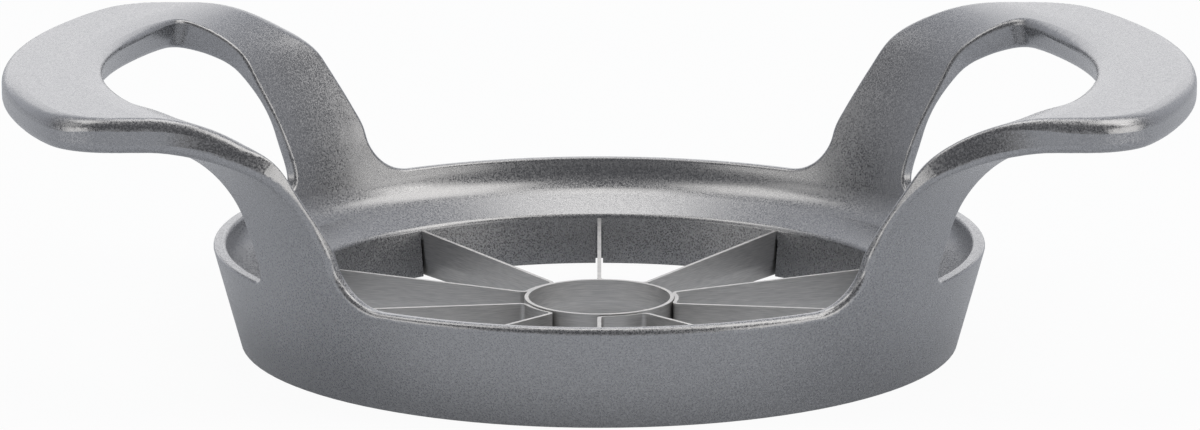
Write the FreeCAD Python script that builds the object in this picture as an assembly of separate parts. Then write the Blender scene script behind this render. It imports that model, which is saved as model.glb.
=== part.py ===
import FreeCAD, Part
import math
import os
from FreeCAD import Vector

# A press for dividing an apple: a cast ring with two handles carries a round core cutter and
# ten blades. Millimetres, +Z up. The origin is on the ring's axis, in the plane of its foot, and
# +X runs from handle to handle. Azimuths are in degrees round that axis, from +X towards +Y.

# Cast ring
FOOT_RADIUS = 55.05         # outer edge of the foot
RIM_RADIUS = 59.15          # outer edge of the rim
RIM_HEIGHT = 15.5
RIM_WIDTH = 2.0
COVE_RADIUS = 6.0           # between the bowl's upper wall and its floor
LIP_RADIUS = 48.4           # where the bowl's floor would meet the bore if the lip were sharp
LIP_HEIGHT = 7.8
LIP_ROUND = 1.0
BOWL_FLOOR_SLOPE = 25.0     # degrees from level
BORE_FOOT_RADIUS = 47.4     # inner edge of the foot

# Shell of the handles, seen in a section through the axis
GRIP_TOP = 43.55
GRIP_THICKNESS = 5.1
WALL_SLOPE = 77.0           # bowl's upper wall and the leg's root above it, degrees from level
ROOT_RUN = 5.0              # straight length of the root above the rim
ROOT_BEND_RADIUS = 30.0
LEG_SLOPE = 62.2            # inner face of the leg, degrees from level
SHOULDER_RADIUS = 16.9      # leg to grip, upper face
ARMPIT_RADIUS = 18.9        # leg to grip, lower face

# Outline of the handles and of their finger holes
GRIP_RADIUS = 90.4          # end of the handle, about the ring's axis
ARM_HALF_WIDTH = 47.7       # beside the grip's corner
ARM_TAPER = 0.45            # narrower by this where the arm starts
GRIP_CORNER_RADIUS = 11.6
LEG_AZIMUTH = 50.1          # outer edge of the leg above its root
LEG_ROOT_RADIUS = 7.5       # sweep of that edge into the rim
HOLE_RADIUS = 75.0          # far end of the finger hole, about the ring's axis
HOLE_HALF_WIDTH = 34.2
HOLE_CORNER_RADIUS = 3.2
HOLE_AZIMUTH = 33.2         # leg's edge beside the hole
HOLE_ROOT_RADIUS = 3.0
ARM_START_RADIUS = 66.5     # where the leaning edge of the leg becomes the arm's straight edge

# Rounded edges of the casting, on its upper and inner side and on its under and outer side
GRIP_TOP_ROUND = 2.4
GRIP_UNDER_ROUND = 1.5
LEG_INNER_ROUND = 0.6
LEG_OUTER_ROUND = 0.7
RIM_INNER_ROUND = 0.6
RIM_OUTER_ROUND = 0.9
POCKET_ROUND = 0.45         # low stretch of rim between the two legs of a handle
GRIP_START_RADIUS = 88.0    # from here outwards the edges have the grip's rounding
ROUNDED_SHARE = 0.75        # of the wall, the most that its two rounded edges take up

# Core cutter and blades
BLADE_COUNT = 10
CORE_RADIUS = 11.5
CORE_WALL = 0.6
CORE_TOP = 5.95
BLADE_THICKNESS = 0.6
BLADE_END_HEIGHT = 7.3      # top edge of a blade at the bore
BLADE_CORE_HEIGHT = 5.75    # top edge of a blade at the core cutter
EDGE_HEIGHT = 0.1           # cutting edges above the foot's plane
EDGE_THICKNESS = 0.12
BEVEL_HEIGHT = 2.6          # ground bevel of each cutting edge
BEND_RADIUS = 0.8           # inside radius of a strip's bend beside the core cutter
WRAP_CLEARANCE = 0.1        # strip to core cutter
SLOT_WIDTH = 1.2
SLOT_DEPTH = 2.5            # into the ring, from the lip's radius
SLOT_HEIGHT = 6.2
SLOT_END_CLEARANCE = 0.2
SLOT_TOP_CLEARANCE = 0.2
WALL_CLEARANCE = 0.1        # blade above its slot to the bore

CUT_INSIDE = 3.0            # how far a trimming surface stands out of the shell, above it
CUT_OUTSIDE = 8.0           # and below
TOOL_REACH = 12.0           # how far cutting tools stand clear of what they cut


def polar(radius, azimuth, z=0.0):
    a = math.radians(azimuth)
    return Vector(radius * math.cos(a), radius * math.sin(a), z)


def section_point(r, z):
    return Vector(r, 0, z)


def slope_step(point, slope, length):
    a = math.radians(slope)
    return point + Vector(math.cos(a), 0, math.sin(a)) * length


def tangent_arc(start, slope_in, slope_out, radius):
    """An arc in the section plane that starts along slope_in and turns to slope_out."""
    side = 1 if slope_out < slope_in else -1
    centre = slope_step(start, slope_in - 90 * side, radius)
    middle = slope_step(centre, (slope_in + slope_out) / 2 + 90 * side, radius)
    end = slope_step(centre, slope_out + 90 * side, radius)
    return Part.Arc(start, middle, end).toShape(), end


def line(a, b):
    return Part.LineSegment(a, b).toShape()


def upper_section():
    """Upper face of root, leg and grip in section, from the rim outwards."""
    start = section_point(RIM_RADIUS - RIM_WIDTH, RIM_HEIGHT)
    bend_start = slope_step(start, WALL_SLOPE, ROOT_RUN)
    bend, bend_end = tangent_arc(bend_start, WALL_SLOPE, LEG_SLOPE, ROOT_BEND_RADIUS)
    leg = math.radians(LEG_SLOPE)
    rise = GRIP_TOP - SHOULDER_RADIUS * (1 - math.cos(leg)) - bend_end.z
    leg_end = slope_step(bend_end, LEG_SLOPE, rise / math.sin(leg))
    shoulder, shoulder_end = tangent_arc(leg_end, LEG_SLOPE, 0, SHOULDER_RADIUS)
    tip = section_point(GRIP_RADIUS + TOOL_REACH, GRIP_TOP)
    edges = [line(start, bend_start), bend, line(bend_end, leg_end), shoulder]
    return edges + [line(shoulder_end, tip)]


def lower_section():
    """Outer face of the ring, carried on up the leg and out under the grip."""
    foot = section_point(FOOT_RADIUS, 0)
    lean = math.atan2(RIM_HEIGHT, RIM_RADIUS - FOOT_RADIUS)
    underside = GRIP_TOP - GRIP_THICKNESS
    rise = underside - ARMPIT_RADIUS * (1 - math.cos(lean))
    leg_end = slope_step(foot, math.degrees(lean), rise / math.sin(lean))
    armpit, armpit_end = tangent_arc(leg_end, math.degrees(lean), 0, ARMPIT_RADIUS)
    tip = section_point(GRIP_RADIUS + TOOL_REACH, underside)
    return [line(foot, leg_end), armpit, line(armpit_end, tip)]


def bowl_section():
    """Inside of the ring, from the foot up over the lip to the rim."""
    foot = section_point(BORE_FOOT_RADIUS, 0)
    lip = section_point(LIP_RADIUS, LIP_HEIGHT)
    rim = section_point(RIM_RADIUS - RIM_WIDTH, RIM_HEIGHT)
    wall = math.tan(math.radians(WALL_SLOPE))
    run = (rim.x - lip.x) * wall - (rim.z - lip.z)
    reach = run / (wall - math.tan(math.radians(BOWL_FLOOR_SLOPE)))
    corner = slope_step(lip, BOWL_FLOOR_SLOPE, reach / math.cos(math.radians(BOWL_FLOOR_SLOPE)))
    tangent = COVE_RADIUS * math.tan(math.radians(WALL_SLOPE - BOWL_FLOOR_SLOPE) / 2)
    floor_end = slope_step(corner, BOWL_FLOOR_SLOPE, -tangent)
    cove, wall_start = tangent_arc(floor_end, BOWL_FLOOR_SLOPE, WALL_SLOPE, COVE_RADIUS)
    bore_slope = math.degrees(math.atan2(lip.z - foot.z, lip.x - foot.x))
    lip_tangent = LIP_ROUND * math.tan(math.radians(bore_slope - BOWL_FLOOR_SLOPE) / 2)
    bore_end = slope_step(lip, bore_slope, -lip_tangent)
    lip_arc, floor_start = tangent_arc(bore_end, bore_slope, BOWL_FLOOR_SLOPE, LIP_ROUND)
    return [line(foot, bore_end), lip_arc, line(floor_start, floor_end), cove, line(wall_start, rim)]


def bell():
    """Ring and handles before they are trimmed: a solid of revolution with a flared flange."""
    upper = upper_section()
    lower = lower_section()
    bowl = bowl_section()
    outer_tip = upper[-1].Vertexes[-1].Point
    under_tip = lower[-1].Vertexes[-1].Point
    foot_line = line(section_point(BORE_FOOT_RADIUS, 0), section_point(FOOT_RADIUS, 0))
    wall = line(bowl[-1].Vertexes[0].Point, upper[0].Vertexes[-1].Point)
    edges = bowl[:-1] + [wall] + upper[1:] + [line(outer_tip, under_tip)] + lower + [foot_line]
    wire = Part.Wire(Part.__sortEdges__(edges))
    return Part.Face(wire).revolve(Vector(0, 0, 0), Vector(0, 0, 1), 360)


def stations():
    """The upper section as one path, with the length along it at which each edge starts."""
    starts = []
    total = 0
    edges = upper_section()
    for edge in edges:
        starts.append(total)
        total += edge.Length
    return edges, starts, total


UPPER_EDGES, UPPER_STARTS, UPPER_LENGTH = stations()
SHOULDER_STATION = UPPER_STARTS[3]
UPPER_PATH = Part.Compound(UPPER_EDGES)
LOWER_PATH = Part.Compound(lower_section())


def on_upper(station):
    """Point and slope, in degrees, of the upper section at a length along it from the rim."""
    index = max(i for i, start in enumerate(UPPER_STARTS) if start <= max(station, 0))
    edge = UPPER_EDGES[index]
    parameter = edge.getParameterByLength(max(station, 0) - UPPER_STARTS[index])
    point = edge.valueAt(parameter)
    tangent = edge.tangentAt(parameter)
    if tangent.x < 0:
        tangent = -tangent
    return point, math.degrees(math.atan2(tangent.z, tangent.x))


def station_at_radius(radius):
    low, high = 0.0, UPPER_LENGTH
    for _ in range(60):
        middle = (low + high) / 2
        if on_upper(middle)[0].x < radius:
            low = middle
        else:
            high = middle
    return low


def trim_line(azimuth, station):
    """Where a trimmed edge meets the upper face, and the way its cut runs through the shell.

    The cut is level at the rim, and square to the shell from the shoulder on.
    """
    point, slope = on_upper(station)
    place = polar(point.x, azimuth, point.z)
    tilt = (90 - slope) * min(station / SHOULDER_STATION, 1)
    across = polar(math.cos(math.radians(tilt)), azimuth, -math.sin(math.radians(tilt)))
    return place, across


def rim_degrees(length):
    """The turn about the ring's axis that covers a length along the rim."""
    return math.degrees(length / (RIM_RADIUS - RIM_WIDTH))


def plan_trim(x, y):
    return trim_line(math.degrees(math.atan2(y, x)), station_at_radius(math.hypot(x, y)))


def flipped(v):
    return Vector(v.x, -v.y, v.z)


def trim_lines(turn, leg_azimuth, root_radius, half_width, taper, corner_radius, end_radius):
    """Trim lines of an outline, from the rim up one leg, round the end and down the other leg.

    turn is 1 for the handle's own outline and -1 for its finger hole. The two numbers given back
    count the lines at which the leg and the arm end.
    """
    lines = []
    root = rim_degrees(root_radius)
    root_azimuth = leg_azimuth + turn * root
    for angle in (0, 15, 30, 45, 60, 75, 90):
        a = math.radians(angle)
        azimuth = root_azimuth - turn * root * math.sin(a)
        lines.append(trim_line(azimuth, root_radius * (1 - math.cos(a))))
    arm_station = station_at_radius(ARM_START_RADIUS)
    start_half_width = half_width - taper
    arm_azimuth = math.degrees(math.asin(start_half_width / ARM_START_RADIUS))
    for share in (0.2, 0.4, 0.6, 0.8, 1):
        station = root_radius + (arm_station - root_radius) * share
        lines.append(trim_line(leg_azimuth + (arm_azimuth - leg_azimuth) * share, station))
    leg_end = len(lines) - 1
    corner_y = half_width - corner_radius
    corner_x = math.sqrt((end_radius - corner_radius) ** 2 - corner_y ** 2)
    arm_x = math.sqrt(ARM_START_RADIUS ** 2 - start_half_width ** 2)
    for share in (0.25, 0.5, 0.75):
        y = start_half_width + taper * share
        lines.append(plan_trim(arm_x + (corner_x - arm_x) * share, y))
    arm_end = len(lines)
    end_azimuth = math.degrees(math.atan2(corner_y, corner_x))
    for share in (0, 0.2, 0.4, 0.6, 0.8, 1):
        turned = polar(corner_radius, 90 + (end_azimuth - 90) * share)
        lines.append(plan_trim(corner_x + turned.x, corner_y + turned.y))
    for share in (0.75, 0.5, 0.25):
        end = polar(end_radius, end_azimuth * share)
        lines.append(plan_trim(end.x, end.y))
    other_side = [(flipped(place), flipped(across)) for place, across in reversed(lines)]
    return lines + [plan_trim(end_radius, 0)] + other_side, leg_end, arm_end


def rim_cut(low_azimuth, high_azimuth):
    """The level cut over a stretch of the rim."""
    rim = RIM_RADIUS - RIM_WIDTH
    arcs = []
    for radius in (rim - CUT_INSIDE, rim + CUT_OUTSIDE):
        centre = Vector(0, 0, RIM_HEIGHT)
        arcs.append(Part.makeCircle(radius, centre, Vector(0, 0, 1), low_azimuth, high_azimuth))
    ends = [line(arcs[0].Vertexes[i].Point, arcs[1].Vertexes[i].Point) for i in (0, 1)]
    return Part.Face(Part.Wire(Part.__sortEdges__(arcs + ends)))


def handle_cut(turn, trim):
    """The cut up the legs and round the end, as ruled faces that meet smoothly."""
    lines, leg_end, arm_end = trim
    last = len(lines) - 1
    parameters = [0]
    for (a, _), (b, _) in zip(lines, lines[1:]):
        parameters.append(parameters[-1] + (b - a).Length)
    breaks = [0, leg_end, arm_end, last - arm_end, last - leg_end, last]
    start = Vector(lines[0][0].y, -lines[0][0].x, 0).normalize() * turn
    curves = []
    for reach in (-CUT_INSIDE, CUT_OUTSIDE):
        curve = Part.BSplineCurve()
        curve.interpolate(Points=[place + across * reach for place, across in lines],
                          Parameters=parameters, InitialTangent=start,
                          FinalTangent=flipped(-start), Scale=False)
        curves.append(curve)
    faces = []
    for low, high in zip(breaks, breaks[1:]):
        edges = []
        for curve in curves:
            piece = curve.copy()
            piece.segment(parameters[low], parameters[high])
            edges.append(piece.toShape())
        faces.append(Part.makeRuledSurface(edges[0], edges[1]))
    return faces


def both_handles(shapes):
    return shapes + [shape.mirror(Vector(0, 0, 0), Vector(1, 0, 0)) for shape in shapes]


def trimmed_bell():
    """Ring with its two handles, edges still sharp."""
    outline = trim_lines(1, LEG_AZIMUTH, LEG_ROOT_RADIUS,
                         ARM_HALF_WIDTH, ARM_TAPER, GRIP_CORNER_RADIUS, GRIP_RADIUS)
    hole = trim_lines(-1, HOLE_AZIMUTH, HOLE_ROOT_RADIUS,
                      HOLE_HALF_WIDTH, 0, HOLE_CORNER_RADIUS, HOLE_RADIUS)
    leg_root = LEG_AZIMUTH + rim_degrees(LEG_ROOT_RADIUS)
    hole_root = HOLE_AZIMUTH - rim_degrees(HOLE_ROOT_RADIUS)
    cuts = [rim_cut(leg_root, 180 - leg_root), rim_cut(180 + leg_root, 360 - leg_root)]
    cuts += both_handles([rim_cut(-hole_root, hole_root)])
    cuts += both_handles(handle_cut(1, outline))
    cuts += both_handles(handle_cut(-1, hole))
    pieces, _ = bell().generalFuse(cuts, 0.0)
    return min(pieces.Solids, key=lambda solid: solid.BoundBox.ZMin)


def is_trim(face):
    level = abs(face.CenterOfMass.z - RIM_HEIGHT) < 0.001
    plane = face.Surface.TypeId == "Part::GeomPlane"
    return face.Surface.TypeId == "Part::GeomBSplineSurface" or (plane and level)


def edge_rounds(point):
    """Radii of the upper and the under rounding at a point of a trimmed edge."""
    radius = math.hypot(point.x, point.y)
    if point.z < RIM_HEIGHT + 0.001 and abs(point.y) < abs(point.x):
        rounds = [POCKET_ROUND, POCKET_ROUND]
        wall = RIM_WIDTH
    elif point.z < RIM_HEIGHT + 0.001:
        rounds = [RIM_INNER_ROUND, RIM_OUTER_ROUND]
        wall = RIM_WIDTH
    else:
        share = (radius - ARM_START_RADIUS) / (GRIP_START_RADIUS - ARM_START_RADIUS)
        share = min(max(share, 0), 1)
        rounds = [LEG_INNER_ROUND + (GRIP_TOP_ROUND - LEG_INNER_ROUND) * share,
                  LEG_OUTER_ROUND + (GRIP_UNDER_ROUND - LEG_OUTER_ROUND) * share]
        in_section = Part.Vertex(section_point(radius, point.z))
        wall = in_section.distToShape(UPPER_PATH)[0] + in_section.distToShape(LOWER_PATH)[0]
    limit = min(ROUNDED_SHARE * wall / sum(rounds), 1)
    return [size * limit for size in rounds]


def rounded(solid):
    """The solid with all its trimmed edges rounded."""
    document = FreeCAD.newDocument()
    base = document.addObject("Part::Feature", "base")
    base.Shape = solid
    rounding = document.addObject("Part::Fillet", "rounding")
    rounding.Base = base
    edges = []
    for number, edge in enumerate(solid.Edges, 1):
        neighbours = solid.ancestorsOfType(edge, Part.Face)
        shell_faces = [face for face in neighbours if not is_trim(face)]
        if len(neighbours) != 2 or len(shell_faces) != 1:
            continue
        middle = edge.valueAt((edge.FirstParameter + edge.LastParameter) / 2)
        u, v = shell_faces[0].Surface.parameter(middle)
        side = 0 if shell_faces[0].normalAt(u, v).z > 0 else 1
        ends = [edge.valueAt(edge.FirstParameter), edge.valueAt(edge.LastParameter)]
        edges.append((number, edge_rounds(ends[0])[side], edge_rounds(ends[1])[side]))
    rounding.Edges = edges
    document.recompute()
    return rounding.Shape.Solids[0]


def blade_azimuths():
    return [90 + 360 / BLADE_COUNT * i for i in range(BLADE_COUNT)]


def slot(azimuth):
    """Cutter for a slot in the foot: open downwards and to the bore, with a round top."""
    depth = LIP_RADIUS + SLOT_DEPTH
    start = BORE_FOOT_RADIUS - TOOL_REACH
    round_height = SLOT_HEIGHT - SLOT_WIDTH / 2
    corner = Vector(start, -SLOT_WIDTH / 2, -TOOL_REACH)
    sides = Part.makeBox(depth - start, SLOT_WIDTH, TOOL_REACH + round_height, corner)
    top = Part.makeCylinder(SLOT_WIDTH / 2, depth - start, Vector(start, 0, round_height), Vector(1, 0, 0))
    cutter = sides.fuse(top).removeSplitter()
    cutter.rotate(Vector(0, 0, 0), Vector(0, 0, 1), azimuth)
    return cutter


def cast_body():
    body = rounded(trimmed_bell())
    return body.cut([slot(azimuth) for azimuth in blade_azimuths()]).Solids[0]


def core_ring():
    """Round core cutter with its lower edge ground from both sides."""
    inside = CORE_RADIUS - CORE_WALL
    middle = CORE_RADIUS - CORE_WALL / 2
    shoulder = EDGE_HEIGHT + BEVEL_HEIGHT
    half_edge = EDGE_THICKNESS / 2
    points = [section_point(inside, CORE_TOP), section_point(CORE_RADIUS, CORE_TOP),
              section_point(CORE_RADIUS, shoulder), section_point(middle + half_edge, EDGE_HEIGHT),
              section_point(middle - half_edge, EDGE_HEIGHT), section_point(inside, shoulder)]
    face = Part.Face(Part.makePolygon(points + points[:1]))
    return face.revolve(Vector(0, 0, 0), Vector(0, 0, 1), 360)


def strip_plan(half_thickness, end_radius, z):
    """Plan of a strip that runs in along one blade, half round the core and out along the next.

    It lies about +X; the two blades stand half a step either side of that.
    """
    arm = 180 / BLADE_COUNT
    wrap = CORE_RADIUS + WRAP_CLEARANCE + BLADE_THICKNESS / 2
    bend = BEND_RADIUS + BLADE_THICKNESS / 2
    bend_azimuth = arm - math.degrees(math.asin(bend / (wrap + bend)))
    centre = polar(wrap + bend, bend_azimuth, z)
    arcs_and_arms = []
    ends = []
    for offset in (-half_thickness, half_thickness):
        at_wrap = polar(wrap + offset, bend_azimuth, z)
        at_arm = centre + polar(bend - offset, arm + 90)
        middle = centre + polar(bend - offset, (bend_azimuth + 180 + arm + 90) / 2)
        end = polar(end_radius, arm, z) - polar(offset, arm + 90)
        ends.append(end)
        arcs_and_arms.append(Part.Arc(flipped(at_wrap), polar(wrap + offset, 0, z), at_wrap).toShape())
        for turn in (lambda v: v, flipped):
            arcs_and_arms.append(Part.Arc(turn(at_wrap), turn(middle), turn(at_arm)).toShape())
            arcs_and_arms.append(line(turn(at_arm), turn(end)))
    arcs_and_arms.append(line(ends[0], ends[1]))
    arcs_and_arms.append(line(flipped(ends[0]), flipped(ends[1])))
    return Part.Wire(Part.__sortEdges__(arcs_and_arms))


def blade_strip(azimuth):
    """A bent strip: two blades with their ground edges down and their ends in two slots."""
    end_radius = LIP_RADIUS + SLOT_DEPTH - SLOT_END_CLEARANCE
    shoulder = EDGE_HEIGHT + BEVEL_HEIGHT
    full = strip_plan(BLADE_THICKNESS / 2, end_radius, shoulder)
    upright = Part.Face(full).extrude(Vector(0, 0, TOOL_REACH))
    bevel = Part.makeLoft([strip_plan(EDGE_THICKNESS / 2, end_radius, EDGE_HEIGHT), full], True, True)
    strip = bevel.fuse(upright)

    fall = (BLADE_END_HEIGHT - BLADE_CORE_HEIGHT) / (LIP_RADIUS - CORE_RADIUS)
    outside = LIP_RADIUS + TOOL_REACH
    axis_height = BLADE_CORE_HEIGHT - fall * CORE_RADIUS
    top = [section_point(0, axis_height),
           section_point(outside, axis_height + fall * outside),
           section_point(outside, TOOL_REACH * 2), section_point(0, TOOL_REACH * 2)]

    lean = (LIP_RADIUS - BORE_FOOT_RADIUS) / LIP_HEIGHT
    tab = SLOT_HEIGHT - SLOT_TOP_CLEARANCE
    bore = BORE_FOOT_RADIUS + lean * tab - WALL_CLEARANCE
    wall = [section_point(bore, tab), section_point(outside, tab),
            section_point(outside, TOOL_REACH), section_point(bore + lean * (TOOL_REACH - tab), TOOL_REACH)]
    for points in (top, wall):
        face = Part.Face(Part.makePolygon(points + points[:1]))
        strip = strip.cut(face.revolve(Vector(0, 0, 0), Vector(0, 0, 1), 360))
    strip = strip.removeSplitter().Solids[0]
    strip.rotate(Vector(0, 0, 0), Vector(0, 0, 1), azimuth)
    return strip


if __name__ == "__main__":
    os.makedirs("parts", exist_ok=True)
    cast_body().exportStep("parts/cast_body.step")
    core_ring().exportStep("parts/core_ring.step")
    for index in range(BLADE_COUNT // 2):
        strip = blade_strip(720 / BLADE_COUNT * index)
        strip.exportStep("parts/blade_strip_%d.step" % (index + 1))
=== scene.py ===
import bpy
import math
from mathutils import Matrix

# A press that divides an apple, photographed on white: a satin silver casting with bright steel
# blades. Everything is in metres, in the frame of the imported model: +X runs from handle to handle,
# +Y away from the camera and +Z up, with the origin on the ring's axis at its foot. The packed
# solids have the press's shapes, so they are shown themselves, with the materials below.

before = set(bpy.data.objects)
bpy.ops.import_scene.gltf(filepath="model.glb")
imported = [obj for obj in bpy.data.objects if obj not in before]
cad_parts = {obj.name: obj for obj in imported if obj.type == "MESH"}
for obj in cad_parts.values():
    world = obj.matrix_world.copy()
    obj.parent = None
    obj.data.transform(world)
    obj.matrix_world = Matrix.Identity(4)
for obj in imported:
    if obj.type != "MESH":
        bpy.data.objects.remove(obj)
bpy.context.view_layer.update()
bpy.ops.object.select_all(action="DESELECT")

MM = 0.001

# Camera that the photograph fits
CAMERA_PLACE = (0, -755.7 * MM, 190.64 * MM)
CAMERA_DIP = math.radians(12.811)      # below level
FOCAL_PIXELS = 5057.9
PHOTO_WIDTH = 1200
AXIS_LEFT_OF_CENTRE = 0.7              # pixels from the frame's centre to the ring's axis
SENSOR = 36.0

# Floor: its paper, and the share of pure white in it as the camera and as the metal sees it
FLOOR_SIDE = 8
PAPER = "#D8DCE3"
WHITE_TO_CAMERA = 0.95
WHITE_TO_METAL = 0.17
PURE_WHITE = (1, 1, 1, 1)

# Room round the lamps, from dim at the camera's side to bright behind the press
ROOM = [(0.10, "#747476"), (0.55, "#969698"), (0.92, "#D8DAE0")]

# Lamps are a trace warmer than the room, as the bright bands in the photograph are. For each:
# azimuth from straight behind the press, positive to the right, and height, both in degrees,
# then distance, width and height of its face in metres, and brightness as a share of white.
LAMP_WHITE = "#FFFBF4"
LAMPS = [
    ("backdrop_lamp", 0, 18, 2.0, (2.2, 1.2), 0.6),
    ("overhead_lamp", 0, 70, 1.5, (0.45, 0.8), 1.9),
    ("side_lamp_left", -90, 62, 1.5, (0.8, 0.7), 1.6),
    ("side_lamp_right", 90, 60, 1.5, (1.0, 0.9), 1.9),
    ("front_lamp_left", -122, 8, 1.5, (1.0, 0.6), 1.5),
    ("front_lamp_right", 119, 10, 1.5, (1.3, 0.7), 1.6),
    ("front_card", 180, 6, 1.6, (1.4, 0.22), 0.35),
    ("glint_lamp_left", -104, 34, 1.5, (0.45, 0.45), 0.8),
    ("glint_lamp_right", 104, 36, 1.5, (0.5, 0.45), 2.0),
]

# Coating of the casting. Its flakes are about 0.05 mm across, too fine for the render, so the
# grain is drawn as clumps of a few flakes. The spatter is the sprayed coat's slight unevenness.
GRAIN = 0.26 * MM
SPATTER = 1.6 * MM
GRAIN_DEPTH = 0.03 * MM
COATING = [(0.30, "#909194"), (0.72, "#B4B5B8")]

# Ground steel of the blades. The real scratches are about 0.03 mm apart, too fine for the render,
# so each line stands for a few of them.
GRIND_LINE = 0.12 * MM
GRIND_DEPTH = 0.01 * MM
ALONG_THE_STRIP = (0.05, 0.05, 1.0)    # the lines are twenty times as long as they are apart
STEEL = [(0.3, "#BABABA"), (0.7, "#D6D5D4")]


def linear(hex_colour):
    """An sRGB hex colour as the linear RGBA that a socket holds."""
    values = [int(hex_colour[i:i + 2], 16) / 255 for i in (1, 3, 5)]
    return [v / 12.92 if v <= 0.04045 else ((v + 0.055) / 1.055) ** 2.4 for v in values] + [1.0]


def node(tree, kind, settings=None, **inputs):
    """Adds a node, sets its properties, and sets or links its inputs by name or number."""
    made = tree.nodes.new(kind)
    for name, value in (settings or {}).items():
        setattr(made, name, value)
    for name, value in inputs.items():
        by_number = name[0] == "_"
        socket = made.inputs[int(name[1:]) if by_number else name.replace("_", " ")]
        if isinstance(value, bpy.types.NodeSocket):
            tree.links.new(value, socket)
        else:
            socket.default_value = value
    return made


def ramp(tree, factor, stops):
    """A colour ramp through (place, colour) stops."""
    made = node(tree, "ShaderNodeValToRGB", _0=factor)
    elements = made.color_ramp.elements
    for place, colour in stops[2:]:
        elements.new(place)
    for element, (place, colour) in zip(elements, stops):
        element.position = place
        element.color = linear(colour)
    return made


def material(name):
    made = bpy.data.materials.new(name)
    made.use_nodes = True
    made.node_tree.nodes.clear()
    return made, made.node_tree


def coated_cast_aluminium():
    """Die-cast aluminium with a sprayed and baked silver coating.

    The eye sees a satin metal, neither mirror nor matt, with a fine sparkle where flakes that lie
    flat and rough spots between them mirror the lamps differently.
    """
    made, tree = material("coated_cast_aluminium")
    place = node(tree, "ShaderNodeTexCoord").outputs["Object"]
    grain = node(tree, "ShaderNodeTexNoise", Vector=place, Scale=1 / GRAIN, Detail=2.0, Roughness=0.6)
    spatter = node(tree, "ShaderNodeTexNoise", Vector=place, Scale=1 / SPATTER, Detail=3.0)
    colour = ramp(tree, grain.outputs["Fac"], COATING)
    rough = node(tree, "ShaderNodeMapRange", Value=grain.outputs["Fac"],
                 From_Min=0.35, From_Max=0.65, To_Min=0.17, To_Max=0.44)
    height = node(tree, "ShaderNodeMath", {"operation": "MULTIPLY_ADD"},
                  _0=spatter.outputs["Fac"], _1=1.5, _2=grain.outputs["Fac"])
    bump = node(tree, "ShaderNodeBump", Strength=0.25, Distance=GRAIN_DEPTH, Height=height.outputs[0])
    shader = node(tree, "ShaderNodeBsdfPrincipled", Base_Color=colour.outputs["Color"], Metallic=1.0,
                  Roughness=rough.outputs[0], Normal=bump.outputs[0])
    node(tree, "ShaderNodeOutputMaterial", Surface=shader.outputs[0])
    return made


def ground_stainless_steel():
    """Rolled stainless strip, ground along its length: an even satin with faint level lines."""
    made, tree = material("ground_stainless_steel")
    place = node(tree, "ShaderNodeTexCoord").outputs["Object"]
    along = node(tree, "ShaderNodeMapping", Vector=place, Scale=ALONG_THE_STRIP)
    lines = node(tree, "ShaderNodeTexNoise", Vector=along.outputs[0], Scale=1 / GRIND_LINE, Detail=2.0)
    colour = ramp(tree, lines.outputs["Fac"], STEEL)
    rough = node(tree, "ShaderNodeMapRange", Value=lines.outputs["Fac"],
                 From_Min=0.3, From_Max=0.7, To_Min=0.38, To_Max=0.52)
    bump = node(tree, "ShaderNodeBump", Strength=0.1, Distance=GRIND_DEPTH, Height=lines.outputs["Fac"])
    shader = node(tree, "ShaderNodeBsdfPrincipled", Base_Color=colour.outputs["Color"], Metallic=1.0,
                  Roughness=rough.outputs[0], Normal=bump.outputs[0])
    node(tree, "ShaderNodeOutputMaterial", Surface=shader.outputs[0])
    return made


def studio_floor():
    """Matt white paper, burnt out to white for the camera but for a trace of shadow."""
    made, tree = material("studio_floor")
    paper = node(tree, "ShaderNodeBsdfDiffuse", Color=linear(PAPER))
    white = node(tree, "ShaderNodeEmission", Color=PURE_WHITE, Strength=1.0)
    path = node(tree, "ShaderNodeLightPath")
    mirrored = node(tree, "ShaderNodeMath", {"operation": "MULTIPLY"},
                    _0=path.outputs["Is Glossy Ray"], _1=WHITE_TO_METAL)
    share = node(tree, "ShaderNodeMath", {"operation": "MULTIPLY_ADD"},
                 _0=path.outputs["Is Camera Ray"], _1=WHITE_TO_CAMERA, _2=mirrored.outputs[0])
    mixed = node(tree, "ShaderNodeMixShader",
                 _0=share.outputs[0], _1=paper.outputs[0], _2=white.outputs[0])
    node(tree, "ShaderNodeOutputMaterial", Surface=mixed.outputs[0])
    return made


def lay_floor():
    bpy.ops.mesh.primitive_plane_add(size=FLOOR_SIDE, location=(0, 0, 0))
    floor = bpy.context.object
    floor.name = "floor"
    floor.data.materials.append(studio_floor())


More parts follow.
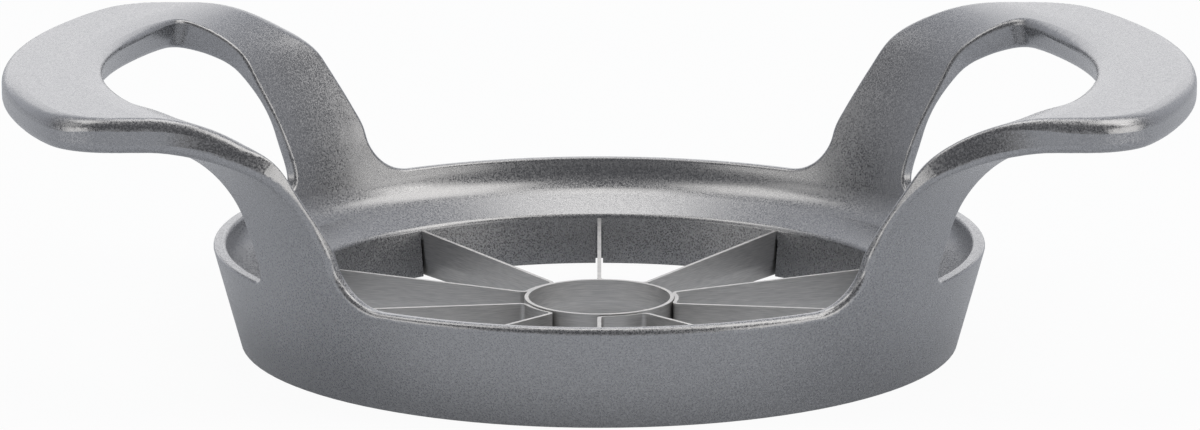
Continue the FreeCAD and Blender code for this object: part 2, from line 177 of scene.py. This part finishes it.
def studio_world():
    """The room round the lamps. The camera itself sees white beyond the floor's edge."""
    world = bpy.data.worlds.new("studio")
    bpy.context.scene.world = world
    world.use_nodes = True
    tree = world.node_tree
    tree.nodes.clear()
    towards = node(tree, "ShaderNodeTexCoord").outputs["Generated"]
    parts = node(tree, "ShaderNodeSeparateXYZ", Vector=towards)
    depth = node(tree, "ShaderNodeMapRange", Value=parts.outputs["Y"], From_Min=-1.0, From_Max=1.0)
    room = ramp(tree, depth.outputs[0], ROOM)
    path = node(tree, "ShaderNodeLightPath")
    seen = node(tree, "ShaderNodeMix", {"data_type": "RGBA"}, _0=path.outputs["Is Camera Ray"],
                _6=room.outputs["Color"], _7=PURE_WHITE)
    background = node(tree, "ShaderNodeBackground", Color=seen.outputs[2], Strength=1.0)
    node(tree, "ShaderNodeOutputWorld", Surface=background.outputs[0])


def softbox(name, azimuth, height_angle, distance, size, brightness):
    """A soft rectangular lamp aimed at the press."""
    turn = math.radians(azimuth)
    level = distance * math.cos(math.radians(height_angle))
    rise = distance * math.sin(math.radians(height_angle))
    place = (level * math.sin(turn), level * math.cos(turn), rise)
    bpy.ops.object.light_add(type="AREA", location=place)
    lamp = bpy.context.object
    lamp.name = name
    lamp.rotation_euler = (-lamp.location).to_track_quat("-Z", "Y").to_euler()
    lamp.data.shape = "RECTANGLE"
    lamp.data.size, lamp.data.size_y = size
    lamp.data.color = linear(LAMP_WHITE)[:3]
    lamp.data.energy = math.pi * size[0] * size[1] * brightness


def place_camera():
    level_view = math.pi / 2
    bpy.ops.object.camera_add(location=CAMERA_PLACE, rotation=(level_view - CAMERA_DIP, 0, 0))
    camera = bpy.context.object
    camera.data.sensor_width = SENSOR
    camera.data.lens = FOCAL_PIXELS * SENSOR / PHOTO_WIDTH
    camera.data.shift_x = AXIS_LEFT_OF_CENTRE / PHOTO_WIDTH
    bpy.context.scene.camera = camera


def finish_nodes():
    """Gives the casting its coating, and the core cutter and the blade strips their steel."""
    casting = coated_cast_aluminium()
    steel = ground_stainless_steel()
    for name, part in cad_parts.items():
        part.data.materials.clear()
        part.data.materials.append(casting if name == "cast_body" else steel)


bpy.context.scene.view_settings.view_transform = "Standard"
finish_nodes()
lay_floor()
studio_world()
for lamp_settings in LAMPS:
    softbox(*lamp_settings)
place_camera()

bpy.context.view_layer.update()
